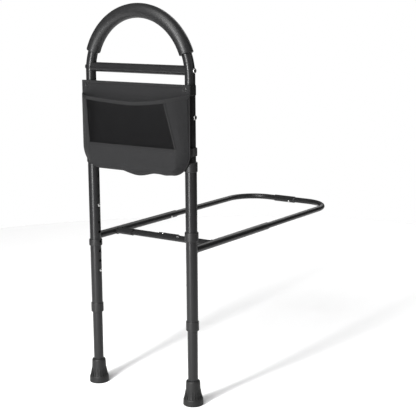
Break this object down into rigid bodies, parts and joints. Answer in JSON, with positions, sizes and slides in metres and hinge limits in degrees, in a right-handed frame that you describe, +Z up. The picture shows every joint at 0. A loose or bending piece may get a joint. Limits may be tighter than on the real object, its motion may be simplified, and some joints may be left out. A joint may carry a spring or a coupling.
{
  "type": "bed assist rail",
  "caption": "Freestanding bedside support rail: arched handle with foam grip and crossbars, telescoping legs with rubber feet, an under-mattress frame and a hanging fabric organiser.",
  "frame": {"origin": "centre of the footprint, on the floor under the feet", "axes": "+Z up, +Y from the legs towards the far bar under the mattress, +X from the left leg to the right leg as seen from the room side"},
  "size_m": [0.3582, 0.7835, 0.9884],
  "materials": {
    "tube": "gloss black powder coat",
    "collar": "satin",
    "plug": "matte",
    "rubber": "matte",
    "foam": "closed-cell foam with a smooth skin",
    "steel": "zinc plated",
    "button": "zinc plated",
    "spring": "spring steel",
    "bag": "woven polyester",
    "webbing": "woven webbing",
    "band": "rubber band",
    "buckle": "moulded acetal"
  },
  "bodies": {
    "frame": {"leg_tube_left": "tube", "leg_tube_right": "tube", "top_collar_left": "collar", "top_collar_right": "collar", "mid_collar_left": "collar", "mid_collar_right": "collar", "foot_collar_left": "collar", "foot_collar_right": "collar", "side_rail_left": "tube", "side_rail_right": "tube", "rear_tube_left": "tube", "rear_tube_right": "tube", "cross_socket": "tube", "cross_tube_front": "tube", "cross_tube_rear_left": "tube", "cross_tube_rear_right": "tube", "rail_spring_left": "spring", "rail_spring_right": "spring", "far_bar_spring": "spring", "cross_spring": "spring"},
    "handle": {"handle_tube": "tube", "foam_grip": "foam", "crossbar_upper": "tube", "crossbar_lower": "tube", "crossbar_inserts": "plug", "crossbar_screws": "steel", "saddle_washers": "collar", "handle_spring_left": "spring", "handle_spring_right": "spring", "bag_back": "bag", "bag_front": "bag", "bag_gusset_left": "bag", "bag_gusset_right": "bag", "bag_base": "bag", "bag_loops": "webbing", "strap_bundle": "webbing", "strap_band": "band", "buckle_socket": "buckle", "buckle_plug": "buckle"},
    "leg_left": {"lower_leg_left": "tube", "foot_left": "rubber", "foot_washer_left": "steel", "leg_spring_left": "spring"},
    "leg_right": {"lower_leg_right": "tube", "foot_right": "rubber", "foot_washer_right": "steel", "leg_spring_right": "spring"},
    "handle_button_left_body": {"handle_button_left": "button"},
    "handle_button_right_body": {"handle_button_right": "button"},
    "leg_button_left_body": {"leg_button_left": "button"},
    "leg_button_right_body": {"leg_button_right": "button"},
    "rail_button_left_body": {"rail_button_left": "button"},
    "rail_button_right_body": {"rail_button_right": "button"},
    "far_bar_button_body": {"far_bar_button": "button"},
    "cross_button_body": {"cross_button": "button"}
  },
  "joints": [
    {"name": "handle_slide", "type": "slide", "parent": "frame", "child": "handle", "axis": [0, 0, 1], "range_m": [0, 0.1016], "deforming": ["handle_button_left", "handle_button_right", "handle_spring_left", "handle_spring_right"]},
    {"name": "leg_left_slide", "type": "slide", "parent": "frame", "child": "leg_left", "axis": [0, 0, 1], "range_m": [0, 0.127], "deforming": ["leg_button_left", "leg_spring_left"]},
    {"name": "leg_right_slide", "type": "slide", "parent": "frame", "child": "leg_right", "axis": [0, 0, 1], "range_m": [0, 0.127], "deforming": ["leg_button_right", "leg_spring_right"]},
    {"name": "handle_button_left_press", "type": "slide", "parent": "handle", "child": "handle_button_left_body", "axis": [-1, 0, 0], "range_m": [0, 0.005], "stiffness_N_per_m": 1500, "springref_m": -0.003, "deforming": ["handle_spring_left"]},
    {"name": "handle_button_right_press", "type": "slide", "parent": "handle", "child": "handle_button_right_body", "axis": [1, 0, 0], "range_m": [0, 0.005], "stiffness_N_per_m": 1500, "springref_m": -0.003, "deforming": ["handle_spring_right"]},
    {"name": "leg_button_left_press", "type": "slide", "parent": "leg_left", "child": "leg_button_left_body", "axis": [-1, 0, 0], "range_m": [0, 0.005], "stiffness_N_per_m": 1500, "springref_m": -0.003, "deforming": ["leg_spring_left"]},
    {"name": "leg_button_right_press", "type": "slide", "parent": "leg_right", "child": "leg_button_right_body", "axis": [1, 0, 0], "range_m": [0, 0.005], "stiffness_N_per_m": 1500, "springref_m": -0.003, "deforming": ["leg_spring_right"]},
    {"name": "rail_button_left_press", "type": "slide", "parent": "frame", "child": "rail_button_left_body", "axis": [-0.9063, 0, 0.4226], "range_m": [0, 0.004], "stiffness_N_per_m": 1500, "springref_m": -0.003, "deforming": ["rail_spring_left"]},
    {"name": "rail_button_right_press", "type": "slide", "parent": "frame", "child": "rail_button_right_body", "axis": [0.9063, 0, 0.4226], "range_m": [0, 0.004], "stiffness_N_per_m": 1500, "springref_m": -0.003, "deforming": ["rail_spring_right"]},
    {"name": "far_bar_button_press", "type": "slide", "parent": "frame", "child": "far_bar_button_body", "axis": [0, 0.9063, 0.4226], "range_m": [0, 0.004], "stiffness_N_per_m": 1500, "springref_m": -0.003, "deforming": ["far_bar_spring"]},
    {"name": "cross_button_press", "type": "slide", "parent": "frame", "child": "cross_button_body", "axis": [0, 0.5, -0.866], "range_m": [0, 0.004], "stiffness_N_per_m": 1500, "springref_m": -0.003, "deforming": ["cross_spring"]}
  ]
}
